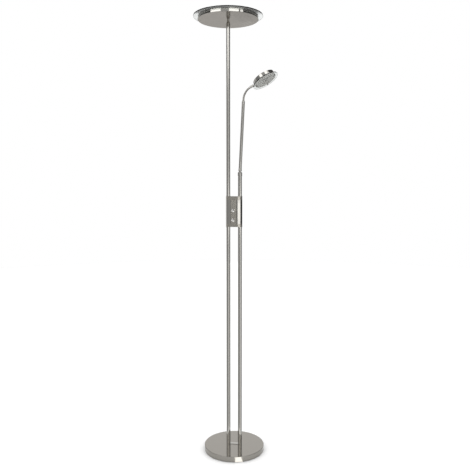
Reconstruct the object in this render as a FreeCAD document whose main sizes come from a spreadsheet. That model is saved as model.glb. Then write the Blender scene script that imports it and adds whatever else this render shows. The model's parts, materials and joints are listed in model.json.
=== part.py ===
"""Torchiere floor lamp: round base, two tubes, dimmer box, glass-topped dish and a reading arm.

Millimetres, +Z up, origin at the base's centre on the floor. +X runs towards the side tube that
carries the reading arm, and -Y is the front, where the dimmer knobs are.
"""

import FreeCAD, Part
import math
import os
import Sketcher

V = FreeCAD.Vector

SIZES = {
    # base
    "base_radius": 125.6,
    "base_top": 23.5,
    "pad_thick": 2.0,
    "plate_thick": 1.2,
    "skin": 1.2,
    "edge_cut": 0.8,
    "recess_radius": 11.0,
    "recess_top": 16.2,
    "channel_top": 9.2,
    "inlet_height": 11.0,
    "inlet_bore": 3.3,
    "inlet_neck": 5.0,
    "inlet_flange": 7.5,
    "foot_thick": 1.5,
    # tubes
    "tube_offset": 24.3,
    "tube_radius": 8.0,
    "tube_bore": 7.0,
    "bush_long": 15.0,
    "collar_radius": 8.8,
    "collar_thick": 2.5,
    "nipple_radius": 4.9,
    "nipple_bore": 3.2,
    "nut_across": 14.0,
    "nut_thick": 4.0,
    "box_nut_across": 12.0,
    "washer_radius": 8.9,
    "washer_thick": 1.5,
    "hole_gap": 0.1,
    "lead_radius": 1.8,
    # dimmer box
    "box_bottom": 952.0,
    "box_top": 1077.5,
    "lower_block": 12.5,
    "upper_block": 14.5,
    "box_wide": 67.5,
    "box_deep": 34.0,
    "box_corner": 16.9,
    "sleeve_wall": 1.5,
    "spigot_tall": 6.0,
    "panel_wide": 24.2,
    "slot_wide": 25.8,
    "panel_thick": 2.5,
    "panel_proud": 0.5,
    "reading_knob_height": 981.0,
    "uplight_knob_height": 1020.0,
    "knob_radius": 6.8,
    "knob_hollow": 5.8,
    "shaft_bite": 2.4,
    "knob_long": 10.4,
    "knob_gap": 0.6,
    "dimmer_radius": 8.0,
    "dimmer_deep": 9.0,
    "dimmer_bush": 3.5,
    "shaft_radius": 3.0,
    "running_gap": 0.05,
    "board_thick": 1.6,
    # uplighter dish
    "neck_bottom": 1768.0,
    "dish_bottom": 1783.0,
    "dish_radius": 122.2,
    "dish_wall": 12.4,
    "dish_skin": 1.2,
    "gasket_thick": 0.6,
    "glass_radius": 140.1,
    "glass_thick": 4.0,
    # reading arm
    "stub_top": 1158.0,
    "knuckle_height": 1173.0,
    "ball_radius": 6.5,
    "arm_lean": 2.75,
    "arm_radius": 6.2,
    "arm_bore": 5.2,
    "arm_start": 20.0,
    "arm_end": 286.0,
    "neck_start": 300.3,
    "link_pitch": 9.8,
    "link_radius": 3.95,
    "link_ball": 3.4,
    "link_bend": 9.4,
    "link_gap": 2.1,
    "link_skirt": 0.6,
    "link_throat": 2.2,
    "lead_bore": 1.2,
    "ferrule_radius": 4.8,
    "ferrule_end": 18.0,
    "ferrule_floor": 9.0,
    # reading head
    "head_reach": 69.0,
    "head_roll": 9.0,
    "head_radius": 46.0,
    "head_deep": 16.0,
    "head_skin": 1.2,
    "stem_depth": 8.0,
    "stem_radius": 2.5,
    "head_glass_radius": 55.0,
    "head_glass_thick": 4.0,
    "head_glass_gap": 0.3,
    "cap_radius": 2.6,
    "cap_thick": 1.8,
    "cap_pin": 1.5,
}

doc = FreeCAD.newDocument("floor_lamp")
sheet = doc.addObject("Spreadsheet::Sheet", "Sizes")
for row, (alias, value) in enumerate(SIZES.items(), start=1):
    sheet.set(f"A{row}", alias)
    sheet.set(f"B{row}", str(value))
    sheet.setAlias(f"B{row}", alias)
doc.recompute()

NODES = []


def sized(text):
    """An expression over the sheet's aliases, with each alias named in full."""
    out = ""
    word = ""
    for letter in str(text) + " ":
        if letter.isalnum() or letter == "_":
            word += letter
            continue
        out += f"Sizes.{word}" if word in SIZES else word
        out += letter
        word = ""
    return out.strip()


def number(text):
    """The present value of an expression over the sheet's aliases."""
    value = sheet.evalExpression(sized(text))
    return float(getattr(value, "Value", value))


def node(item, label):
    """Keep an object as the sub-part of this name."""
    item.Label = label
    NODES.append(item)
    return item


def cylinder(radius, low, tall, x="0", y="0", along="Z"):
    """A cylinder whose axis runs from its low end along Z or along -Y."""
    item = doc.addObject("Part::Cylinder", "cylinder")
    item.setExpression("Radius", sized(radius))
    item.setExpression("Height", sized(tall))
    if along == "front":
        item.Placement = FreeCAD.Placement(V(), FreeCAD.Rotation(V(1, 0, 0), 90))
    item.setExpression("Placement.Base.x", sized(x))
    item.setExpression("Placement.Base.y", sized(y))
    item.setExpression("Placement.Base.z", sized(low))
    return item


def hexagon(across, low, tall, x="0", y="0", along="Z"):
    """A hexagonal prism of this width across its flats."""
    item = doc.addObject("Part::Prism", "hexagon")
    item.Polygon = 6
    item.setExpression("Circumradius", sized(f"({across}) / sqrt(3)"))
    item.setExpression("Height", sized(tall))
    if along == "front":
        item.Placement = FreeCAD.Placement(V(), FreeCAD.Rotation(V(1, 0, 0), 90))
    item.setExpression("Placement.Base.x", sized(x))
    item.setExpression("Placement.Base.y", sized(y))
    item.setExpression("Placement.Base.z", sized(low))
    return item


def block(x, y, z, wide, deep, tall):
    """A box from its low corner."""
    item = doc.addObject("Part::Box", "block")
    for side, size in (("Length", wide), ("Width", deep), ("Height", tall)):
        item.setExpression(side, sized(size))
    for axis, place in (("x", x), ("y", y), ("z", z)):
        item.setExpression(f"Placement.Base.{axis}", sized(place))
    return item


def fused(*items):
    item = doc.addObject("Part::MultiFuse", "fused")
    item.Shapes = list(items)
    item.Refine = True
    return item


def cut(base, *tools):
    item = doc.addObject("Part::Cut", "cut")
    item.Base = base
    item.Tool = tools[0] if len(tools) == 1 else fused(*tools)
    return item


def group(*items):
    """Separate solids that share one node."""
    item = doc.addObject("Part::Compound", "group")
    item.Links = list(items)
    return item


def ring(outer, inner, low, tall, x="0", y="0", along="Z"):
    """A tube: its bore runs past both ends, so that the cut is clean."""
    if along == "front":
        bore = cylinder(inner, low, f"{tall} + 2", x, f"{y} + 1", along)
    else:
        bore = cylinder(inner, f"{low} - 1", f"{tall} + 2", x, y)
    return cut(cylinder(outer, low, tall, x, y, along), bore)


def nut(across, bore, low, tall, x="0", y="0", along="Z"):
    if along == "front":
        hole = cylinder(bore, low, f"{tall} + 2", x, f"{y} + 1", along)
    else:
        hole = cylinder(bore, f"{low} - 1", f"{tall} + 2", x, y)
    return cut(hexagon(across, low, tall, x, y, along), hole)


def outline_sketch(body, plane, points):
    """A closed sketch whose corners are bound to the sheet.

    A corner is a pair of expressions. A third entry makes the side that starts there an arc about
    the point that it gives, turning the way its sign says.
    """
    sketch = body.newObject("Sketcher::SketchObject", "outline")
    origin = [item for item in body.Origin.OriginFeatures if item.Role == plane][0]
    sketch.AttachmentSupport = [(origin, "")]
    sketch.MapMode = "FlatFace"
    corners = [V(number(point[0]), number(point[1]), 0) for point in points]
    for index, point in enumerate(points):
        start = corners[index]
        end = corners[(index + 1) % len(corners)]
        if len(point) == 2:
            sketch.addGeometry(Part.LineSegment(start, end), False)
            continue
        centre = V(number(point[2][0]), number(point[2][1]), 0)
        middle = centre + (start + end - centre * 2).normalize() * (start - centre).Length
        sketch.addGeometry(Part.Arc(start, middle, end), False)
    for index, point in enumerate(points):
        here = sketch_end(sketch, index, corners[index])
        after = (index + 1) % len(points)
        far = 3 - sketch_end(sketch, index, corners[index])
        near = sketch_end(sketch, after, corners[after])
        sketch.addConstraint(Sketcher.Constraint("Coincident", index, far, after, near))
        for kind, text, value in (
            ("DistanceX", point[0], corners[index].x),
            ("DistanceY", point[1], corners[index].y),
        ):
            held = sketch.addConstraint(Sketcher.Constraint(kind, -1, 1, index, here, value))
            sketch.setExpression(f"Constraints[{held}]", sized(text))
        if len(point) == 3:
            centre = V(number(point[2][0]), number(point[2][1]), 0)
            held = sketch.addConstraint(
                Sketcher.Constraint("DistanceY", -1, 1, index, 3, centre.y)
            )
            sketch.setExpression(f"Constraints[{held}]", sized(point[2][1]))
    return sketch


def sketch_end(sketch, index, corner):
    """Which end of a side lies at this corner: 1 is its start and 2 its end."""
    start = sketch.getPoint(index, 1)
    return 1 if (start - corner).Length < 1e-6 else 2


def turned(label, points, placement=None):
    """A piece turned about its own Z from half of its section, as (radius, height) corners."""
    body = doc.addObject("PartDesign::Body", label)
    sketch = outline_sketch(body, "XZ_Plane", points)
    doc.recompute()
    spin = body.newObject("PartDesign::Revolution", "spin")
    spin.Profile = sketch
    spin.ReferenceAxis = (sketch, ["V_Axis"])
    spin.Angle = 360
    body.Tip = spin
    if placement is not None:
        body.Placement = placement
    return body


def tube_points(outer, inner, low, high):
    """Half section of a plain tube."""
    return [(inner, low), (outer, low), (outer, high), (inner, high)]


def rounded_block(label, wide, deep, corner, low, tall):
    """An upright block with rounded corners, padded from its plan."""
    body = doc.addObject("PartDesign::Body", label)
    wide = f"({wide}) / 2"
    deep = f"({deep}) / 2"
    inner_x = f"{wide} - ({corner})"
    inner_y = f"{deep} - ({corner})"
    points = [
        (inner_x, f"-{deep}", (inner_x, f"-({inner_y})")),
        (wide, f"-({inner_y})"),
        (wide, inner_y, (inner_x, inner_y)),
        (inner_x, deep),
        (f"-({inner_x})", deep, (f"-({inner_x})", inner_y)),
        (f"-{wide}", inner_y),
        (f"-{wide}", f"-({inner_y})", (f"-({inner_x})", f"-({inner_y})")),
        (f"-({inner_x})", f"-{deep}"),
    ]
    sketch = outline_sketch(body, "XY_Plane", points)
    doc.recompute()
    pad = body.newObject("PartDesign::Pad", "pad")
    pad.Profile = sketch
    pad.setExpression("Length", sized(tall))
    body.Tip = pad
    body.setExpression("Placement.Base.z", sized(low))
    return body


SIDES = ("-tube_offset", "tube_offset")
MAIN, SIDE = SIDES


# ---------------------------------------------------------------- base


def base_parts():
    plate_top = "pad_thick + plate_thick"
    inside = "base_radius - skin"
    node(turned("base_pad", [
        ("0", "0"),
        ("base_radius - 6", "0"),
        ("base_radius - 6", "pad_thick"),
        ("0", "pad_thick"),
    ]), "base_pad")
    node(turned("bottom_plate", [
        ("0", "pad_thick"),
        (f"{inside} - 0.4", "pad_thick"),
        (f"{inside} - 0.4", plate_top),
        ("0", plate_top),
    ]), "bottom_plate")
    cover = turned("cover_shell", [
        ("0", "base_top - skin"),
        (inside, "base_top - skin"),
        (inside, "pad_thick + 0.3"),
        ("base_radius", "pad_thick + 0.3"),
        ("base_radius", "base_top - edge_cut"),
        ("base_radius - edge_cut", "base_top"),
        ("0", "base_top"),
    ])
    holes = [cylinder("nipple_radius + hole_gap", "0", "base_top + 5", x) for x in SIDES]
    rear = cylinder("inlet_neck + hole_gap", "inlet_height", "20", "0", "base_radius + 8", "front")
    node(cut(cover, *holes, rear), "base_cover")

    disc = turned("weight_disc", [
        ("0", plate_top),
        (f"{inside} - 6", plate_top),
        (f"{inside} - 6", "base_top - skin"),
        ("0", "base_top - skin"),
    ])
    hollows = [cylinder("nipple_radius + hole_gap", "0", "base_top", x) for x in SIDES]
    hollows += [cylinder("recess_radius", "0", "recess_top", x) for x in SIDES]
    channel = f"channel_top - ({plate_top}) + 1"
    floor = f"{plate_top} - 1"
    hollows.append(block("-tube_offset - 4", "0", floor, "8", "50", channel))
    hollows.append(block("-tube_offset", "-4", floor, "tube_offset * 2", "8", channel))
    hollows.append(block("-tube_offset - 20", "46", floor, "52", "28", "13"))
    hollows.append(block("-8", "70", floor, "16", "60", "13.5"))
    node(cut(disc, *hollows), "base_weight")

    foot = rounded_block(
        "foot_stadium", "tube_offset * 2 + tube_radius * 2", "tube_radius * 2",
        "tube_radius - 0.01", "base_top", "foot_thick",
    )
    holes = [cylinder("nipple_radius + hole_gap", "base_top - 1", "foot_thick + 2", x) for x in SIDES]
    node(cut(foot, *holes), "foot_plate")

    nipple_low = "recess_top - 6.7"
    nipple_long = "base_top + foot_thick + bush_long - recess_top + 6.7"
    node(group(*[
        ring("nipple_radius", "nipple_bore", nipple_low, nipple_long, x) for x in SIDES
    ]), "foot_nipples")
    node(group(*[
        ring("washer_radius", "nipple_radius + hole_gap", "recess_top - washer_thick", "washer_thick", x)
        for x in SIDES
    ]), "foot_washers")
    node(group(*[
        nut("nut_across", "nipple_radius", "recess_top - washer_thick - nut_thick", "nut_thick", x)
        for x in SIDES
    ]), "foot_nuts")

    out = FreeCAD.Placement(
        V(0, 0, number("inlet_height")), FreeCAD.Rotation(V(1, 0, 0), -90)
    )
    node(turned("cord_grommet", [
        ("inlet_bore", "base_radius - skin - 2"),
        ("inlet_flange - 1.2", "base_radius - skin - 2"),
        ("inlet_flange - 1.2", "base_radius - skin - 0.4"),
        ("inlet_neck", "base_radius - skin - 0.4"),
        ("inlet_neck", "base_radius"),
        ("inlet_flange", "base_radius"),
        ("inlet_flange - 0.8", "base_radius + 2"),
        ("inlet_bore", "base_radius + 2"),
    ], out), "cord_grommet")

    terminal = block("-tube_offset - 15", "50", plate_top, "30", "18", "9")
    wells = [
        cylinder("1.6", f"{plate_top} + 4", "8", f"-tube_offset + {step}", f"{row}")
        for step in (-9, 0, 9) for row in (54, 64)
    ]
    node(cut(terminal, *wells), "terminal_block")


# ---------------------------------------------------------------- tubes


def tube_parts():
    foot = "base_top + foot_thick"
    under_box = "box_bottom - collar_thick"
    over_box = "box_top + collar_thick"
    runs = {
        "main_tube_lower": (MAIN, foot, under_box),
        "side_tube_lower": (SIDE, foot, under_box),
        "main_tube_upper": (MAIN, over_box, "neck_bottom"),
        "side_tube_stub": (SIDE, over_box, "stub_top"),
    }
    for label, (x, low, high) in runs.items():
        tube = turned(label, tube_points("tube_radius", "tube_bore", low, high))
        tube.setExpression("Placement.Base.x", sized(x))
        node(tube, label)

    bushes = []
    for x in SIDES:
        for low in (foot, f"{under_box} - bush_long", over_box):
            bushes.append(ring("tube_bore", "nipple_radius", low, "bush_long", x))
    bushes.append(ring("tube_bore", "4 + running_gap", "stub_top - 20", "20", SIDE))
    node(group(*bushes), "tube_bushes")

    node(group(*[
        ring("collar_radius", "nipple_radius", low, "collar_thick", x)
        for x in SIDES for low in (under_box, "box_top")
    ]), "tube_collars")

    neck = turned("neck_cone", [
        ("nipple_bore", "neck_bottom - 15"),
        ("tube_bore", "neck_bottom - 15"),
        ("tube_bore", "neck_bottom"),
        ("tube_radius", "neck_bottom"),
        ("tube_radius - 0.6", "neck_bottom + 3"),
        ("tube_radius - 3.2", "neck_bottom + 9"),
        ("tube_radius - 3.4", "dish_bottom"),
        ("nipple_bore", "dish_bottom"),
    ])
    neck.setExpression("Placement.Base.x", sized(MAIN))
    node(neck, "neck_cone")


def lead_parts():
    """The leads held inside the tubes: the supply up to the box, and the box up to the dish."""
    bend = 6.0
    x = number(MAIN)
    low = number("pad_thick + plate_thick + lead_radius + 0.4")
    start = V(x, 49.5, low)
    turn_in = V(x, bend, low)
    turn_mid = V(x, bend - bend * math.sin(math.pi / 4), low + bend - bend * math.cos(math.pi / 4))
    turn_out = V(x, 0, low + bend)
    path = Part.Wire([
        Part.makeLine(start, turn_in),
        Part.Arc(turn_in, turn_mid, turn_out).toShape(),
        Part.makeLine(turn_out, V(x, 0, number("box_bottom + 40"))),
    ])
    section = Part.Wire(Part.makeCircle(number("lead_radius"), start, V(0, -1, 0)))
    supply = doc.addObject("Part::Feature", "supply_lead")
    supply.Shape = path.makePipeShell([section], True, False)
    uplight = cylinder("lead_radius", "box_top - 45", "dish_bottom + 8 - box_top + 45", MAIN)
    reading = cylinder("lead_radius", "box_top - 45", "stub_top - 40 - box_top + 45", SIDE)
    node(group(supply, uplight, reading), "inner_leads")


# ---------------------------------------------------------------- dimmer box


def box_parts():
    holes = [cylinder("nipple_radius + hole_gap", "900", "300", x) for x in SIDES]
    lower = rounded_block(
        "lower_solid", "box_wide", "box_deep", "box_corner", "box_bottom", "lower_block"
    )
    upper = rounded_block(
        "upper_solid", "box_wide", "box_deep", "box_corner", "box_top - upper_block", "upper_block"
    )
    spigots = {
        "end_block_bottom": (lower, "box_bottom + lower_block"),
        "end_block_top": (upper, "box_top - upper_block - spigot_tall"),
    }
    screw_places = [
        (f"{x}", height)
        for x in (-12, 12)
        for height in (
            "box_bottom + lower_block + spigot_tall / 2",
            "box_top - upper_block - spigot_tall / 2",
        )
    ]
    screw_holes = [
        cylinder("1.5", height, "10", x, "box_deep / 2 + 1", "front") for x, height in screw_places
    ]
    for label, (solid, low) in spigots.items():
        spigot = rounded_block(
            "spigot", "box_wide - (sleeve_wall + hole_gap) * 2", "box_deep - (sleeve_wall + hole_gap) * 2",
            "box_corner - sleeve_wall - hole_gap", low, "spigot_tall",
        )
        middle = block("-20", "-box_deep", low, "40", "box_deep - 2", "spigot_tall")
        node(cut(fused(solid, cut(spigot, middle)), *holes, *screw_holes), label)

    sleeve_low = "box_bottom + lower_block"
    sleeve_long = "box_top - upper_block - box_bottom - lower_block"
    shell = rounded_block(
        "sleeve_outer", "box_wide", "box_deep", "box_corner", sleeve_low, sleeve_long
    )
    hollow = rounded_block(
        "sleeve_inner", "box_wide - sleeve_wall * 2", "box_deep - sleeve_wall * 2",
        "box_corner - sleeve_wall", f"{sleeve_low} - 1", f"{sleeve_long} + 2",
    )
    slot = block(
        "-slot_wide / 2", "-box_deep / 2 - 1", f"{sleeve_low} - 1",
        "slot_wide", "sleeve_wall + 2", f"{sleeve_long} + 2",
    )
    node(cut(shell, hollow, slot, *screw_holes), "box_sleeve")

    front = "-box_deep / 2 - panel_proud"
    panel = block(
        "-panel_wide / 2", front, f"{sleeve_low} + 0.2",
        "panel_wide", "panel_thick", f"{sleeve_long} - 0.4",
    )
    behind = f"{front} + panel_thick"
    heights = {"uplight": "uplight_knob_height", "reading": "reading_knob_height"}
    windows = [
        cylinder("dimmer_bush + 0.05", height, "panel_thick + 2", "0", f"{behind} + 1", "front")
        for height in heights.values()
    ]
    node(cut(panel, *windows), "front_panel")

    screws = []
    for x, height in screw_places:
        head = cylinder("2.6", height, "1.4", x, "box_deep / 2 + 1.4", "front")
        shank = cylinder("1.45", height, "6", x, "box_deep / 2", "front")
        slot = block(f"{x} - 3", "box_deep / 2 + 0.7", f"{height} - 0.35", "6", "1", "0.7")
        screws.append(cut(fused(head, shank), slot))
    node(group(*screws), "box_screws")

    grip = "collar_thick + bush_long + spigot_tall + nut_thick"
    inner_low = "box_top - upper_block - spigot_tall - nut_thick"
    node(group(*[
        ring("nipple_radius", "nipple_bore", low, long, x)
        for x in SIDES
        for low, long in (
            ("box_bottom - collar_thick - bush_long", f"lower_block + {grip}"),
            (inner_low, f"upper_block + {grip}"),
        )
    ]), "box_nipples")
    node(group(*[
        nut("box_nut_across", "nipple_radius", low, "nut_thick", x)
        for x in SIDES
        for low in ("box_bottom + lower_block + spigot_tall", inner_low)
    ]), "box_nuts")

    tip = f"{front} - knob_gap"
    back = f"{behind} + dimmer_deep"
    shaft_start = f"{behind} + 2.8"
    shaft_long = "panel_thick + knob_gap + 2.8 + 5.8"
    for name, height in heights.items():
        can = cylinder("dimmer_radius", height, "dimmer_deep", "0", back, "front")
        bush = cylinder("dimmer_bush", height, "panel_thick + 3", "0", behind, "front")
        hole = cylinder(
            "shaft_radius + running_gap", height, "panel_thick + 9", "0", f"{behind} + 3", "front"
        )
        node(cut(fused(can, bush), hole), f"{name}_dimmer")
        node(cylinder("shaft_radius", height, shaft_long, "0", shaft_start, "front"), f"{name}_shaft")
        turn = FreeCAD.Placement(
            V(0, number(tip), number(height)), FreeCAD.Rotation(V(1, 0, 0), 90)
        )
        node(turned(f"{name}_knob", [
            ("knob_hollow", "0"),
            ("knob_radius", "0"),
            ("knob_radius", "knob_long - 1.2"),
            ("knob_radius - 0.35", "knob_long - 0.35"),
            ("knob_radius - 1.2", "knob_long"),
            ("0", "knob_long"),
            ("0", "5.8"),
            ("shaft_radius", "5.8"),
            ("shaft_radius", "5.8 - shaft_bite"),
            ("knob_hollow", "5.8 - shaft_bite"),
        ], turn), f"{name}_knob")
    node(group(*[
        nut("9.6", "dimmer_bush", height, "2", "0", front, "front") for height in heights.values()
    ]), "dimmer_nuts")

    node(block(
        "-12", back, f"{sleeve_low} + 5", "24", "board_thick", f"{sleeve_long} - 10"
    ), "dimmer_board")


# ---------------------------------------------------------------- uplighter dish


def dish_parts():
    rim = "dish_bottom + dish_wall"
    shift = FreeCAD.Placement(V(number(MAIN), 0, 0), FreeCAD.Rotation())
    node(turned("dish_pan", [
        ("nipple_bore + hole_gap", "dish_bottom"),
        ("dish_radius - edge_cut", "dish_bottom"),
        ("dish_radius", "dish_bottom + edge_cut"),
        ("dish_radius", rim),
        ("dish_radius - dish_skin", rim),
        ("dish_radius - dish_skin", "dish_bottom + dish_skin"),
        ("nipple_bore + hole_gap", "dish_bottom + dish_skin"),
    ], shift), "dish_pan")
    node(turned("dish_nipple", tube_points(
        "nipple_bore", "2", "dish_bottom - 14", "dish_bottom + dish_skin + 5"
    ), shift), "dish_nipple")
    node(nut(
        "nut_across", "nipple_bore", "dish_bottom + dish_skin", "3", MAIN
    ), "dish_nut")
    plate_low = "dish_bottom + dish_skin"
    node(turned("heat_spreader", tube_points(
        "dish_radius - dish_skin - 2", "14", plate_low, f"{plate_low} + 2"
    ), shift), "heat_spreader")
    node(turned("uplight_led_board", tube_points(
        "104", "30", f"{plate_low} + 2", f"{plate_low} + 2 + board_thick"
    ), shift), "uplight_led_board")
    node(turned("dish_diffuser", [
        ("0", f"{rim} - 1.6"),
        ("dish_radius - dish_skin - 0.2", f"{rim} - 1.6"),
        ("dish_radius - dish_skin - 0.2", rim),
        ("0", rim),
    ], shift), "dish_diffuser")
    node(turned("glass_gasket", tube_points(
        "dish_radius - 0.4", "dish_radius - 5", rim, f"{rim} + gasket_thick"
    ), shift), "glass_gasket")
    glass = f"{rim} + gasket_thick"
    node(turned("dish_glass", [
        ("0", glass),
        ("glass_radius - 0.7", glass),
        ("glass_radius", f"{glass} + 0.7"),
        ("glass_radius", f"{glass} + glass_thick - 0.7"),
        ("glass_radius - 0.7", f"{glass} + glass_thick"),
        ("0", f"{glass} + glass_thick"),
    ], shift), "dish_glass")


# ---------------------------------------------------------------- reading arm


def leaning_frame(lean, point):
    """A frame at a point, with its Z leaning from upright towards +X."""
    return FreeCAD.Placement(point, FreeCAD.Rotation(V(0, 1, 0), lean))


def ball(radius, height):
    item = doc.addObject("Part::Sphere", "ball")
    item.setExpression("Radius", sized(radius))
    item.setExpression("Placement.Base.z", sized(height))
    return item


def placed(item, label, frame):
    item.Placement = frame
    return node(item, label)


def arm_parts():
    knuckle = V(number(SIDE), 0, number("knuckle_height"))
    lean = number("arm_lean")
    upright = FreeCAD.Placement(knuckle, FreeCAD.Rotation())
    shoulder = "stub_top + 0.3 - knuckle_height"
    cup = turned("cup", [
        ("0", "stub_top - 24 - knuckle_height"),
        ("4", "stub_top - 24 - knuckle_height"),
        ("4", shoulder),
        ("tube_radius", shoulder),
        ("tube_radius + 1", f"{shoulder} + 3"),
        ("tube_radius + 1", "0.5"),
        ("tube_radius - 0.4", "2.5"),
        ("0", "2.5"),
    ])
    placed(cut(cup, ball("ball_radius + 0.1", "0")), "knuckle_cup", upright)
    node(ring(
        "6.2", "4", "stub_top - 21.8", "1.5", SIDE
    ), "swivel_clip")

    leaning = leaning_frame(lean, knuckle)
    cone = turned("cone", [
        ("0", "0"),
        ("4", "0"),
        ("4", "6.5"),
        ("6.6", "6.5"),
        ("7", "9"),
        ("arm_radius", "arm_start"),
        ("arm_bore", "arm_start"),
        ("arm_bore", "arm_start + 12"),
        ("0", "arm_start + 12"),
    ])
    placed(fused(cone, ball("ball_radius", "0")), "arm_base", leaning)
    node(turned(
        "arm_tube", tube_points("arm_radius", "arm_bore", "arm_start", "arm_end"), leaning
    ), "arm_tube")
    lower = turned("lower_end", [
        ("0", "arm_end - 12"),
        ("arm_bore", "arm_end - 12"),
        ("arm_bore", "arm_end"),
        ("arm_radius", "arm_end"),
        ("arm_radius - 0.5", "arm_end + 2"),
        ("link_radius + 0.4", "arm_end + 4"),
        ("link_radius", "arm_end + 4.6"),
        ("link_radius", "neck_start - link_gap"),
        ("0", "neck_start - link_gap"),
    ])
    throat = cylinder("link_throat", "neck_start - link_gap - 1", "3")
    placed(cut(
        fused(lower, throat, ball("link_ball", "neck_start")),
        cylinder("lead_bore", "arm_end - 13", "40"),
    ), "arm_ferrule", leaning)

    pivot = leaning.multVec(V(0, 0, number("neck_start")))
    for index in range(1, 6):
        lean += number("link_bend")
        frame = leaning_frame(lean, pivot)
        solid = fused(
            cylinder("link_radius", "-link_skirt", "link_pitch - link_gap + link_skirt"),
            cylinder("link_throat", "link_pitch - link_gap - 1", "3"),
            ball("link_ball", "link_pitch"),
        )
        hollow = fused(ball("link_ball + 0.08", "0"), cylinder("lead_bore", "0", "20"))
        placed(cut(solid, hollow), f"neck_link_{index}", frame)
        pivot = frame.multVec(V(0, 0, number("link_pitch")))
    lean += number("link_bend")
    frame = leaning_frame(lean, pivot)
    upper = turned("upper_end", [
        ("0", "-link_skirt"),
        ("link_radius", "-link_skirt"),
        ("link_radius", "3.4"),
        ("ferrule_radius", "4"),
        ("ferrule_radius", "ferrule_end"),
        ("stem_radius + running_gap", "ferrule_end"),
        ("stem_radius + running_gap", "ferrule_floor"),
        ("0", "ferrule_floor"),
    ])
    hollow = fused(ball("link_ball + 0.08", "0"), cylinder("lead_bore", "0", "ferrule_floor + 1"))
    placed(cut(upper, hollow), "neck_ferrule", frame)
    return frame


# ---------------------------------------------------------------- reading head


def head_parts(neck):
    """The head's own frame has X along the neck, Z out of its back, and its face at height 0."""
    roll = FreeCAD.Rotation(V(0, 0, 1), -number("head_roll"))
    lay_down = FreeCAD.Rotation(V(0, 1, 0), -90)
    rolled = FreeCAD.Placement(V(), roll) * FreeCAD.Placement(V(), lay_down)
    reach = FreeCAD.Placement(V(0, 0, number("head_reach")), FreeCAD.Rotation())
    drop = FreeCAD.Placement(V(0, 0, -number("stem_depth")), FreeCAD.Rotation())
    head = neck * reach * rolled * drop
    hole = turned("stem_hole", [
        ("0", "0"),
        ("stem_radius + hole_gap", "0"),
        ("stem_radius + hole_gap", "10"),
        ("0", "10"),
    ], FreeCAD.Placement(
        V(-number("head_radius") - 4, 0, number("stem_depth")), FreeCAD.Rotation(V(0, 1, 0), 90)
    ))
    shell = turned("pan_shell", [
        ("0", "head_deep - head_skin"),
        ("head_radius - head_skin", "head_deep - head_skin"),
        ("head_radius - head_skin", "0"),
        ("head_radius", "0"),
        ("head_radius", "head_deep - edge_cut"),
        ("head_radius - edge_cut", "head_deep"),
        ("0", "head_deep"),
    ])
    pan = cut(shell, hole)
    pan.Placement = head
    node(pan, "head_pan")
    node(turned("head_led_board", [
        ("0", "head_deep - head_skin - board_thick"),
        ("36", "head_deep - head_skin - board_thick"),
        ("36", "head_deep - head_skin"),
        ("0", "head_deep - head_skin"),
    ], head), "head_led_board")
    node(turned("head_diffuser", [
        ("1.6", "0.6"),
        ("12", "0.6"),
        ("12.6", "1.2"),
        ("26", "1.2"),
        ("26.6", "0.6"),
        ("head_radius - head_skin - 6.2", "0.6"),
        ("head_radius - head_skin - 5.6", "0"),
        ("head_radius - head_skin - 0.1", "0"),
        ("head_radius - head_skin - 0.1", "2.6"),
        ("1.6", "2.6"),
    ], head), "head_diffuser")

    glass_top = "-head_glass_gap"
    glass_low = f"{glass_top} - head_glass_thick"
    clip_ring = "head_radius - 4"
    corners = [(clip_ring, "0"), ("0", clip_ring), (f"-({clip_ring})", "0"), ("0", f"-({clip_ring})")]
    disc = turned("glass_disc", [
        ("0", glass_low),
        ("head_glass_radius - 0.6", glass_low),
        ("head_glass_radius", f"{glass_low} + 0.6"),
        ("head_glass_radius", f"{glass_top} - 0.6"),
        ("head_glass_radius - 0.6", glass_top),
        ("0", glass_top),
    ])
    pane = cut(disc, *[
        cylinder("cap_pin + hole_gap", f"{glass_low} - 1", "head_glass_thick + 2", x, y)
        for x, y in [("0", "0")] + corners
    ])
    pane.Placement = head
    node(pane, "head_glass")
    caps = []
    for x, y in corners:
        cap = cylinder("cap_radius", f"{glass_low} - cap_thick", "cap_thick", x, y)
        pin = cylinder("cap_pin", f"{glass_low} - 0.2", "head_glass_thick + head_glass_gap + 0.2", x, y)
        caps.append(fused(cap, pin))
    clips = group(*caps)
    clips.Placement = head
    node(clips, "glass_caps")
    screw = fused(
        cylinder("cap_radius", f"{glass_low} - cap_thick", "cap_thick"),
        cylinder("cap_pin", f"{glass_low} - 0.2", "head_glass_thick + head_glass_gap + 3"),
    )
    screw.Placement = head
    node(screw, "centre_screw")

    lying = head * FreeCAD.Placement(
        V(-number("head_reach"), 0, number("stem_depth")), FreeCAD.Rotation(V(0, 1, 0), 90)
    )
    wall = "head_reach - head_radius"
    node(turned("head_stem", [
        ("lead_bore", "ferrule_floor + 0.4"),
        ("stem_radius", "ferrule_floor + 0.4"),
        ("stem_radius", "ferrule_end + 0.3"),
        ("ferrule_radius - 0.6", "ferrule_end + 0.3"),
        ("ferrule_radius", "ferrule_end + 1"),
        ("ferrule_radius", f"{wall} - 0.6"),
        ("stem_radius", f"{wall} - 0.2"),
        ("stem_radius", f"{wall} + 5"),
        ("lead_bore", f"{wall} + 5"),
    ], lying), "head_stem")
    lock = cut(
        hexagon("7", f"{wall} + head_skin + 0.6", "2.6"),
        cylinder("stem_radius", f"{wall}", "8"),
    )
    lock.Placement = lying
    node(lock, "head_nut")


base_parts()
tube_parts()
lead_parts()
box_parts()
dish_parts()
head_parts(arm_parts())
doc.recompute()

for item in doc.Objects:
    if "Invalid" in item.State or "Error" in item.State:
        raise RuntimeError(f"{item.Name} ({item.Label}) failed: {item.State}")

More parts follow.
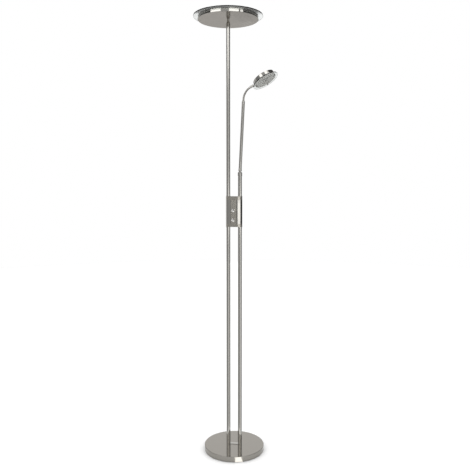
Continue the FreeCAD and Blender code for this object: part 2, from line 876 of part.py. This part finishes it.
os.makedirs("parts", exist_ok=True)
for item in NODES:
    if item.Shape.isNull() or not item.Shape.isValid():
        raise RuntimeError(f"{item.Label} has no valid shape")
    item.Shape.exportStep(f"parts/{item.Label}.step")
    box = item.Shape.BoundBox
    print(
        f"{item.Label:20s} solids {len(item.Shape.Solids)} volume {item.Shape.Volume:10.1f}"
        f"  x {box.XMin:8.2f} {box.XMax:8.2f}  y {box.YMin:8.2f} {box.YMax:8.2f}"
        f"  z {box.ZMin:8.2f} {box.ZMax:8.2f}"
    )
print(len(NODES), "nodes")
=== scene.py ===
"""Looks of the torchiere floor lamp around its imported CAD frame. Metres, +Z up, -Y is the front."""

import json
import math

import bmesh
import bpy
from mathutils import Matrix, Vector


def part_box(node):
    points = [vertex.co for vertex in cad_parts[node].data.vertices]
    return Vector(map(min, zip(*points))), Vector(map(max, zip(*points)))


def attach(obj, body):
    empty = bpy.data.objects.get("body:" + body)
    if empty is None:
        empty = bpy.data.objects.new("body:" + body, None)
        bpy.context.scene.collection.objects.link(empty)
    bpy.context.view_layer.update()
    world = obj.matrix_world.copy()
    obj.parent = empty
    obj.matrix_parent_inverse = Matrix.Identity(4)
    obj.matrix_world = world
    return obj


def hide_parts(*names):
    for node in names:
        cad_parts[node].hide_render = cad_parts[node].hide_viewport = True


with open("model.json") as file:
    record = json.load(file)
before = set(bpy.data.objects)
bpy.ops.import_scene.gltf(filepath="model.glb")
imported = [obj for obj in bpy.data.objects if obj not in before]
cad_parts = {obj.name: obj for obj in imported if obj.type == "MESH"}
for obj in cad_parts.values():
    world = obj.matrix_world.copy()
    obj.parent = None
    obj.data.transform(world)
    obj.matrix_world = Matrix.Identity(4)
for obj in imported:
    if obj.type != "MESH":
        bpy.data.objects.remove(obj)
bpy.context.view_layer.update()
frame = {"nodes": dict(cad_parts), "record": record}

VIEW_AZIMUTH = math.radians(9.2)
JOINTS = {joint["name"]: joint for joint in frame["record"]["behaviour"]["joints"]}
SLOTS = {part["node"]: part["material_slot"] for part in frame["record"]["subparts"]}


# ---------------------------------------------------------------- node helpers


def new_material(name):
    material = bpy.data.materials.new(name)
    material.use_nodes = True
    tree = material.node_tree
    return material, tree, tree.nodes["Principled BSDF"]


def set_shader(shader, **values):
    for name, value in values.items():
        shader.inputs[name.replace("_", " ")].default_value = value


def coordinates(tree, scale=(1, 1, 1)):
    """Object-space position in metres, stretched by scale."""
    source = tree.nodes.new("ShaderNodeTexCoord")
    mapping = tree.nodes.new("ShaderNodeMapping")
    mapping.inputs["Scale"].default_value = scale
    tree.links.new(source.outputs["Object"], mapping.inputs["Vector"])
    return mapping.outputs["Vector"]


def noise(tree, vector, scale, detail=3.0, rough=0.5):
    texture = tree.nodes.new("ShaderNodeTexNoise")
    texture.inputs["Scale"].default_value = scale
    texture.inputs["Detail"].default_value = detail
    texture.inputs["Roughness"].default_value = rough
    tree.links.new(vector, texture.inputs["Vector"])
    return texture.outputs["Fac"]


def remap(tree, value, low, high, to_low, to_high):
    node = tree.nodes.new("ShaderNodeMapRange")
    for name, number in (
        ("From Min", low), ("From Max", high), ("To Min", to_low), ("To Max", to_high),
    ):
        node.inputs[name].default_value = number
    tree.links.new(value, node.inputs["Value"])
    return node.outputs["Result"]


def mix_colours(tree, factor, first, second):
    node = tree.nodes.new("ShaderNodeMix")
    node.data_type = "RGBA"
    tree.links.new(factor, node.inputs["Factor"])
    for name, value in (("A", first), ("B", second)):
        if isinstance(value, tuple):
            node.inputs[name].default_value = (*value, 1)
        else:
            tree.links.new(value, node.inputs[name])
    return node.outputs["Result"]


def sums(tree, operation, *values):
    node = tree.nodes.new("ShaderNodeMath")
    node.operation = operation
    for place, value in zip(node.inputs, values):
        if isinstance(value, (int, float)):
            place.default_value = value
        else:
            tree.links.new(value, place)
    return node.outputs[0]


def within(tree, value, low, high):
    return sums(tree, "COMPARE", value, (low + high) / 2, (high - low) / 2)


def panels_of(tree, azimuth, panels, between):
    """Strength by azimuth: that of the panel there, or the one between panels."""
    total = between
    for low, high, strength in panels:
        part = sums(tree, "MULTIPLY", within(tree, azimuth, low, high), strength - between)
        total = sums(tree, "ADD", total, part)
    return total


def azimuth_of(tree, direction):
    """Degrees round from VIEW_AZIMUTH, with each axis of the direction."""
    turn = tree.nodes.new("ShaderNodeVectorRotate")
    turn.rotation_type = "Z_AXIS"
    turn.inputs["Angle"].default_value = -VIEW_AZIMUTH
    tree.links.new(direction, turn.inputs["Vector"])
    split = tree.nodes.new("ShaderNodeSeparateXYZ")
    tree.links.new(turn.outputs["Vector"], split.inputs["Vector"])
    towards = sums(tree, "MULTIPLY", split.outputs["Y"], -1)
    around = sums(tree, "DEGREES", sums(tree, "ARCTAN2", split.outputs["X"], towards))
    return around, split


def blend_values(tree, factor, first, second):
    node = tree.nodes.new("ShaderNodeMix")
    tree.links.new(factor, node.inputs["Factor"])
    for name, value in (("A", first), ("B", second)):
        if isinstance(value, (int, float)):
            node.inputs[name].default_value = value
        else:
            tree.links.new(value, node.inputs[name])
    return node.outputs["Result"]


def facing(tree, axis):
    """1 where the surface faces along this axis either way, and 0 on walls round it."""
    source = tree.nodes.new("ShaderNodeTexCoord")
    product = tree.nodes.new("ShaderNodeVectorMath")
    product.operation = "DOT_PRODUCT"
    product.inputs[1].default_value = axis
    tree.links.new(source.outputs["Normal"], product.inputs[0])
    return remap(tree, sums(tree, "ABSOLUTE", product.outputs["Value"]), 0.75, 0.9, 0, 1)


def bump(tree, shader, height, strength, distance):
    node = tree.nodes.new("ShaderNodeBump")
    node.inputs["Strength"].default_value = strength
    node.inputs["Distance"].default_value = distance
    tree.links.new(height, node.inputs["Height"])
    tree.links.new(node.outputs["Normal"], shader.inputs["Normal"])


# ---------------------------------------------------------------- materials


def metal(name, tone, rough, grain=(1, 1, 1), depth=0.06, spread=0.03, wear=0.05, wall=None):
    """Metal whose brush lines run along the axes that grain leaves long.

    wall is (axis, roughness, tone): walls round that axis differ so from the faces across it; the
    roughness is a real polished finish, the tone is painted shade that gives walls and faces of one
    metal different brightness.
    """
    material, tree, shader = new_material(name)
    set_shader(shader, Metallic=1.0)
    lines = noise(tree, coordinates(tree, grain), 900, 4, 0.6)
    cloud = noise(tree, coordinates(tree), 14, 2)
    darker = tuple(channel * (1 - wear) for channel in tone)
    lighter = tuple(min(channel * (1 + wear), 1) for channel in tone)
    shade = mix_colours(tree, remap(tree, lines, 0.3, 0.7, 0, 1), darker, lighter)
    gloss = remap(tree, cloud, 0.3, 0.7, rough - spread, rough + spread)
    if wall:
        axis, smooth, painted_shade_wall_tone = wall
        across = facing(tree, axis)
        gloss = blend_values(tree, across, smooth, gloss)
        # Painted shade: the walls take a tone of their own, apart from the faces of the same metal.
        shade = mix_colours(tree, across, painted_shade_wall_tone, shade)
    tree.links.new(shade, shader.inputs["Base Color"])
    tree.links.new(gloss, shader.inputs["Roughness"])
    bump(tree, shader, lines, depth, 0.0002)
    return material


def solid(name, tone, rough, speckle=0.1, scale=300, depth=0.15, metallic=0.0):
    """Painted, moulded or cast stuff with a fine uneven skin."""
    material, tree, shader = new_material(name)
    set_shader(shader, Metallic=metallic)
    grain = noise(tree, coordinates(tree), scale, 3)
    darker = tuple(channel * (1 - speckle) for channel in tone)
    lighter = tuple(min(channel * (1 + speckle), 1) for channel in tone)
    shade = mix_colours(tree, remap(tree, grain, 0.3, 0.7, 0, 1), darker, lighter)
    tree.links.new(shade, shader.inputs["Base Color"])
    tree.links.new(remap(tree, grain, 0.3, 0.7, rough - 0.05, rough + 0.05), shader.inputs["Roughness"])
    bump(tree, shader, grain, depth, 0.0003)
    return material


def glass(name, tone, rim, axis):
    """Clear sheet across this axis, with a darker polished rim."""
    material, tree, shader = new_material(name)
    set_shader(shader, Transmission_Weight=1.0, IOR=1.5)
    cloud = noise(tree, coordinates(tree), 6, 2)
    shade = mix_colours(tree, facing(tree, axis), rim, tone)
    tree.links.new(shade, shader.inputs["Base Color"])
    tree.links.new(remap(tree, cloud, 0.3, 0.7, 0.0, 0.03), shader.inputs["Roughness"])
    return material


UPRIGHT = (0, 0, 1)
HEAD_ROLL = math.radians(9)
NECK_WAY = Vector(JOINTS["head_roll"]["axis"]).normalized()
HEAD_WAY = Matrix.Rotation(-HEAD_ROLL, 3, NECK_WAY) @ NECK_WAY.cross(Vector((0, -1, 0)))
NICKEL = (0.405, 0.395, 0.37)
BRUSHED = (0.41, 0.39, 0.35)
# Painted shade: FACES, BASE_FACES, DISH_FACES and WALLS are tones of the same nickel, set apart by which
# way each surface faces.
FACES = (0.315, 0.302, 0.28)
BASE_FACES = (0.288, 0.272, 0.245)
DISH_FACES = (0.395, 0.363, 0.318)
WALLS = (0.28, 0.268, 0.245)
CLEAR = (0.93, 0.95, 0.94)
MATERIALS = {
    "satin_nickel": metal("satin_nickel", NICKEL, 0.14),
    "brushed_panel": metal("brushed_panel", BRUSHED, 0.28, (1, 1, 0.02), 0.15, wear=0.12),
    "polished_nickel": metal("polished_nickel", (0.62, 0.61, 0.59), 0.07, depth=0.02),
    "cast_iron": solid("cast_iron", (0.03, 0.03, 0.03), 0.7, 0.3, 120, 0.6),
    "zinc_steel": metal("zinc_steel", (0.5, 0.51, 0.52), 0.3, depth=0.1),
    "brass": metal("brass", (0.6, 0.45, 0.2), 0.25),
    "pad_foam": solid("pad_foam", (0.02, 0.02, 0.02), 0.9, 0.4, 900, 0.8),
    "black_rubber": solid("black_rubber", (0.02, 0.02, 0.02), 0.6, 0.2, 500),
    "lead_jacket": solid("lead_jacket", (0.7, 0.7, 0.68), 0.5),
    "terminal_plastic": solid("terminal_plastic", (0.75, 0.73, 0.66), 0.45),
    "dimmer_plastic": solid("dimmer_plastic", (0.03, 0.03, 0.035), 0.4),
    "circuit_board": solid("circuit_board", (0.7, 0.72, 0.68), 0.35),
    "aluminium": metal("aluminium", (0.7, 0.71, 0.72), 0.3),
    "opal_plastic": solid("opal_plastic", (0.42, 0.398, 0.365), 0.4, 0.04, 500, 0.05),
    "clear_glass": glass("clear_glass", CLEAR, (0.42, 0.47, 0.44), UPRIGHT),
}
SPECIAL = {
    # The base, dish and head pans carry painted shade: faces and walls of one nickel in different tones.
    "base_cover": metal("base_nickel", BASE_FACES, 0.08, spread=0.02, wall=(UPRIGHT, 0.2, WALLS)),
    "dish_pan": metal("dish_nickel", DISH_FACES, 0.2, wall=(UPRIGHT, 0.05, NICKEL)),
    "head_pan": metal("head_nickel", FACES, 0.2, wall=(HEAD_WAY, 0.05, NICKEL)),
    "box_sleeve": metal("sleeve_nickel", NICKEL, 0.1, (1, 1, 0.02), depth=0.04),
    "end_block_bottom": metal("block_nickel", BRUSHED, 0.2, (0.02, 1, 1), 0.12),
    "head_glass": glass("head_glass", CLEAR, (0.8, 0.83, 0.82), HEAD_WAY),
}
SPECIAL["end_block_top"] = SPECIAL["end_block_bottom"]

for node, slot in SLOTS.items():
    for place in frame["nodes"][node].material_slots:
        place.material = SPECIAL.get(node, MATERIALS[slot])


# ---------------------------------------------------------------- mesh helper


def mesh_piece(name, grid, material):
    """A skin over rows of points, each row being one turn round the piece."""
    shape = bmesh.new()
    rows = [[shape.verts.new(point) for point in row] for row in grid]
    around = len(rows[0])
    for low, high in zip(rows, rows[1:]):
        for index in range(around):
            after = (index + 1) % around
            shape.faces.new((low[index], low[after], high[after], high[index]))
    for face in shape.faces:
        face.smooth = True
    bmesh.ops.recalc_face_normals(shape, faces=shape.faces)
    mesh = bpy.data.meshes.new(name)
    shape.to_mesh(mesh)
    shape.free()
    piece = bpy.data.objects.new(name, mesh)
    bpy.context.collection.objects.link(piece)
    mesh.materials.append(material)
    return piece


# ---------------------------------------------------------------- flexible neck


PIVOTS = [Vector(JOINTS[f"neck_bend_{index}"]["pos_m"]) for index in range(1, 7)]
HOSE_RADIUS = 0.00375
HOSE_BALL = 0.0034
BALL_FROM = -30
BALL_TO = 55
BALL_STEP = 5
HOSE_GAP = 0.00034
HOSE_OVER_ARM = 0.0094
HOSE_OVER_FERRULE = 0.0039
HOSE_SIDES = 28
RIDGE = 0.00026
RINGS_PER_LINK = 12
ROWS_PER_RING = 5
SIDE = Vector((0, 1, 0))


def hose_row(point, way, reach):
    """One turn round the hose."""
    across = SIDE.cross(way)
    row = []
    for corner in range(HOSE_SIDES):
        angle = 2 * math.pi * corner / HOSE_SIDES
        row.append(point + (SIDE * math.cos(angle) + across * math.sin(angle)) * reach)
    return row


def hose_length(index, body, origin, way, curve, ring, low, high, ball_at=None):
    """A stiff ringed length of the hose between two pivots, with a ball inside its far end."""
    inward = SIDE.cross(way)

    def spot(along):
        if curve == 0:
            return origin + way * along, way
        bend = along * curve
        point = origin + (way * math.sin(bend) + inward * (1 - math.cos(bend))) / curve
        return point, way * math.cos(bend) + inward * math.sin(bend)

    steps = math.ceil((high - low) / ring * ROWS_PER_RING)
    rows = []
    for step in range(steps + 1):
        along = low + (high - low) * step / steps
        groove = abs(math.cos(math.pi * along / ring)) ** 1.5
        rows.append(hose_row(*spot(along), HOSE_RADIUS + RIDGE * (1 - 2 * groove)))
    if ball_at is not None:
        point, heading = spot(ball_at)
        for degrees in range(BALL_FROM, BALL_TO + 1, BALL_STEP):
            angle = math.radians(degrees)
            centre = point + heading * HOSE_BALL * math.sin(angle)
            rows.append(hose_row(centre, heading, HOSE_BALL * math.cos(angle)))
    piece = mesh_piece(f"neck_hose_{index}", rows, MATERIALS["satin_nickel"])
    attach(piece, body)
    return piece


def hose_pieces():
    """The hose passes through every pivot in one smooth curve at rest, and parts at its grooves."""
    chords = [after - before for before, after in zip(PIVOTS, PIVOTS[1:])]
    half = chords[0].angle(chords[1]) / 2
    long = chords[0].length * half / math.sin(half)
    ring = long / RINGS_PER_LINK
    first = (PIVOTS[0] - Vector(JOINTS["arm_tilt"]["pos_m"])).normalized()
    hose_length(0, "arm", PIVOTS[0], first, 0, ring, -HOSE_OVER_ARM, -ring)
    for index, chord in enumerate(chords, start=1):
        along = chord.normalized()
        way = along * math.cos(half) - SIDE.cross(along) * math.sin(half)
        end = long - (2 * ring if index == len(chords) else HOSE_GAP)
        curve = 2 * half / long
        piece = hose_length(
            index, f"neck_{index}", PIVOTS[index - 1], way, curve, ring, HOSE_GAP, end, long,
        )
        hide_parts(f"neck_link_{index}")
    last = Vector(JOINTS["head_roll"]["axis"]).normalized()
    hose_length(6, "neck_end", PIVOTS[5], last, 0, ring, HOSE_GAP, HOSE_OVER_FERRULE)


hose_pieces()


# ---------------------------------------------------------------- knobs


def knob_piece(name, node, body):
    """Turned knob with a finely fluted side, a ring groove near its back and a dished face."""
    low, high = (Vector(corner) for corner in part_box(node))
    centre = (low + high) / 2
    radius = (high.x - low.x) / 2
    long = high.y - low.y
    flutes = 36
    sides = flutes * 6
    profile = [
        (0.84, 0.0), (0.985, 0.0), (1.0, 0.03), (1.0, 0.14), (0.975, 0.16), (0.975, 0.2),
        (1.0, 0.22), (1.0, 0.86), (0.985, 0.92), (0.94, 0.975), (0.87, 1.0), (0.8, 0.995),
        (0.76, 0.96), (0.5, 0.95), (0.2, 0.945), (0.001, 0.944),
    ]
    grid = []
    for reach, rise in profile:
        row = []
        for corner in range(sides):
            angle = 2 * math.pi * corner / sides
            cut = 0.0
            if 0.21 < rise < 0.95 and reach > 0.93:
                cut = 0.022 * (1 - math.cos(angle * flutes)) / 2
            size = radius * (reach - cut)
            row.append(Vector((
                centre.x + size * math.sin(angle), high.y - long * rise,
                centre.z + size * math.cos(angle),
            )))
        grid.append(row)
    piece = mesh_piece(name, grid, MATERIALS["polished_nickel"])
    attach(piece, body)
    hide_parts(node)


knob_piece("uplight_knob_turned", "uplight_knob", "uplight_dial")
knob_piece("reading_knob_turned", "reading_knob", "reading_dial")


# ---------------------------------------------------------------- stage, light and camera


# Only mirrors see these bands: (lowest, highest) degrees above level, then their panels as
# (from, to, strength) in degrees round from the photo camera's heading, fixed in the room, and
# the strength between the panels.
LOW_PANELS = ((-150, -95, 0.8), (-95, -62, 0.35), (-62, -4, 0.5))
BANDS = (
    ((-90, -4.4), LOW_PANELS + ((-4, 55, 0.95), (150, 180, 0.85), (-180, -150, 0.58)), 0.35),
    ((-4.4, -1.1), LOW_PANELS + ((-11, 66, 2.3),), 0.05),
    ((-1.1, 11), LOW_PANELS + ((-4, 55, 0.9),), 0.35),
    ((11, 55), (
        (-68, -27, 2.6), (-27, 4, 0.65), (4, 41, 2.6), (46, 58, 2.0), (150, 180, 1.1),
        (-180, -150, 1.1),
    ), 0.11),
    ((55, 90), (), 0.75),
)
# Painted reflection: panels of light and shade in the floor's colour, for mirrors only, as (from, to,
# strength) in degrees round from VIEW_AZIMUTH, then the strength between them.
FLOOR_PAINTED_REFLECTION_PANELS = ((-180, -95, 0.6), (-95, -62, 0.5), (-62, -4, 0.3), (-4, 60, 1.1))
FLOOR_BETWEEN = 0.2
FLOOR_FROM = 0.2
CEILING_FROM = 16
CEILING = 0.1
SOFT_LIGHT = 1.22
FLOOR_RADIUS = 6
CARD_TURNS = (2, 17)
CARD_REACHES = (0.127, 0.22)
CARD_HEIGHT = 0.0006
CARD_STRENGTH = 3.0
CAMERA_LENS = 44.06
CAMERA_DISTANCE = 2.3717
CAMERA_HEIGHT = 1.1271
CAMERA_ASIDE = 0.0036
CAMERA_PITCH = 5.05


def stage_floor():
    """Plain pale floor for the camera and for soft light; for mirrors its colour is painted in panels of
    light and shade instead, a painted reflection.
    """
    bpy.ops.mesh.primitive_circle_add(vertices=96, radius=FLOOR_RADIUS, fill_type="NGON")
    floor = bpy.context.object
    floor.name = "studio_floor"
    material, tree, shader = new_material("studio_floor")
    set_shader(shader, Roughness=0.9, Specular_IOR_Level=0.1)
    place = coordinates(tree)
    pale = mix_colours(tree, noise(tree, place, 2), (0.93, 0.93, 0.93), (0.95, 0.95, 0.95))
    azimuth = azimuth_of(tree, place)[0]
    pattern = panels_of(tree, azimuth, FLOOR_PAINTED_REFLECTION_PANELS, FLOOR_BETWEEN)
    span = tree.nodes.new("ShaderNodeVectorMath")
    span.operation = "LENGTH"
    tree.links.new(place, span.inputs[0])
    path = tree.nodes.new("ShaderNodeLightPath").outputs
    away = sums(tree, "GREATER_THAN", span.outputs["Value"], FLOOR_FROM)
    outside = sums(tree, "SUBTRACT", path["Is Glossy Ray"], path["Is Transmission Ray"])
    mirrored = sums(tree, "MULTIPLY", sums(tree, "MAXIMUM", outside, 0), away)
    # Painted reflection: mirrors see the floor in panels of light and shade, while the camera and soft
    # light see it pale.
    shade = mix_colours(tree, mirrored, pale, pattern)
    tree.links.new(shade, shader.inputs["Base Color"])
    floor.data.materials.append(material)


def world_light():
    """White for the camera and for soft light; mirrors see BANDS of light panels instead."""
    world = bpy.data.worlds.new("studio")
    bpy.context.scene.world = world
    world.use_nodes = True
    tree = world.node_tree
    background = tree.nodes["Background"]
    background.inputs["Color"].default_value = (1, 1, 1, 1)
    source = tree.nodes.new("ShaderNodeTexCoord")
    azimuth, split = azimuth_of(tree, source.outputs["Generated"])
    height = sums(tree, "DEGREES", sums(tree, "ARCSINE", split.outputs["Z"]))
    pattern = 0.0
    for (lowest, highest), panels, between in BANDS:
        total = panels_of(tree, azimuth, panels, between)
        here = sums(tree, "MULTIPLY", within(tree, height, lowest, highest), total)
        pattern = sums(tree, "ADD", pattern, here)
    path = tree.nodes.new("ShaderNodeLightPath").outputs
    outside = sums(tree, "LESS_THAN", path["Transmission Depth"], 0.5)
    seen_after = sums(tree, "GREATER_THAN", path["Glossy Depth"], 0.5)
    direct = sums(tree, "MULTIPLY", path["Is Glossy Ray"], outside)
    through = sums(tree, "MULTIPLY", path["Is Transmission Ray"], seen_after)
    mirrored = sums(tree, "MAXIMUM", direct, through)
    soft = sums(tree, "MULTIPLY", path["Is Diffuse Ray"], SOFT_LIGHT - 1)
    high = sums(tree, "GREATER_THAN", height, CEILING_FROM)
    above = sums(tree, "MULTIPLY", path["Is Transmission Ray"], high)
    dimmed = sums(tree, "SUBTRACT", 1, sums(tree, "MULTIPLY", above, 1 - CEILING))
    plain = sums(tree, "MULTIPLY", dimmed, sums(tree, "ADD", soft, 1))
    rest = sums(tree, "MULTIPLY", sums(tree, "SUBTRACT", 1, mirrored), plain)
    strength = sums(tree, "ADD", sums(tree, "MULTIPLY", pattern, mirrored), rest)
    tree.links.new(strength, background.inputs["Strength"])


def floor_card():
    """A lit card on the floor before the base, hidden from the camera, for the base's wall to mirror."""
    shape = bmesh.new()
    left, right = CARD_TURNS
    near, far = CARD_REACHES
    corners = ((left, near), (right, near), (right, far), (left, far))
    shape.faces.new([
        shape.verts.new((
            reach * math.sin(VIEW_AZIMUTH + math.radians(turn)),
            -reach * math.cos(VIEW_AZIMUTH + math.radians(turn)),
            CARD_HEIGHT,
        )) for turn, reach in corners
    ])
    mesh = bpy.data.meshes.new("floor_card")
    shape.to_mesh(mesh)
    shape.free()
    card = bpy.data.objects.new("floor_card", mesh)
    bpy.context.collection.objects.link(card)
    material, tree, shader = new_material("floor_card")
    set_shader(shader, Emission_Strength=CARD_STRENGTH)
    shade = mix_colours(tree, noise(tree, coordinates(tree), 2), (0.97, 0.97, 0.97), (1, 1, 1))
    tree.links.new(shade, shader.inputs["Emission Color"])
    mesh.materials.append(material)
    card.visible_camera = False
    card.visible_diffuse = False
    card.visible_shadow = False


def camera():
    data = bpy.data.cameras.new("camera")
    data.sensor_width = 36
    data.lens = CAMERA_LENS
    data.clip_end = 50
    item = bpy.data.objects.new("camera", data)
    bpy.context.collection.objects.link(item)
    front = Vector((math.sin(VIEW_AZIMUTH), -math.cos(VIEW_AZIMUTH), 0))
    right = Vector((math.cos(VIEW_AZIMUTH), math.sin(VIEW_AZIMUTH), 0))
    item.location = front * CAMERA_DISTANCE + right * CAMERA_ASIDE + Vector((0, 0, CAMERA_HEIGHT))
    item.rotation_euler = (math.radians(90 - CAMERA_PITCH), 0, VIEW_AZIMUTH)
    bpy.context.scene.camera = item


stage_floor()
floor_card()
world_light()
camera()
bpy.context.scene.view_settings.view_transform = "Standard"
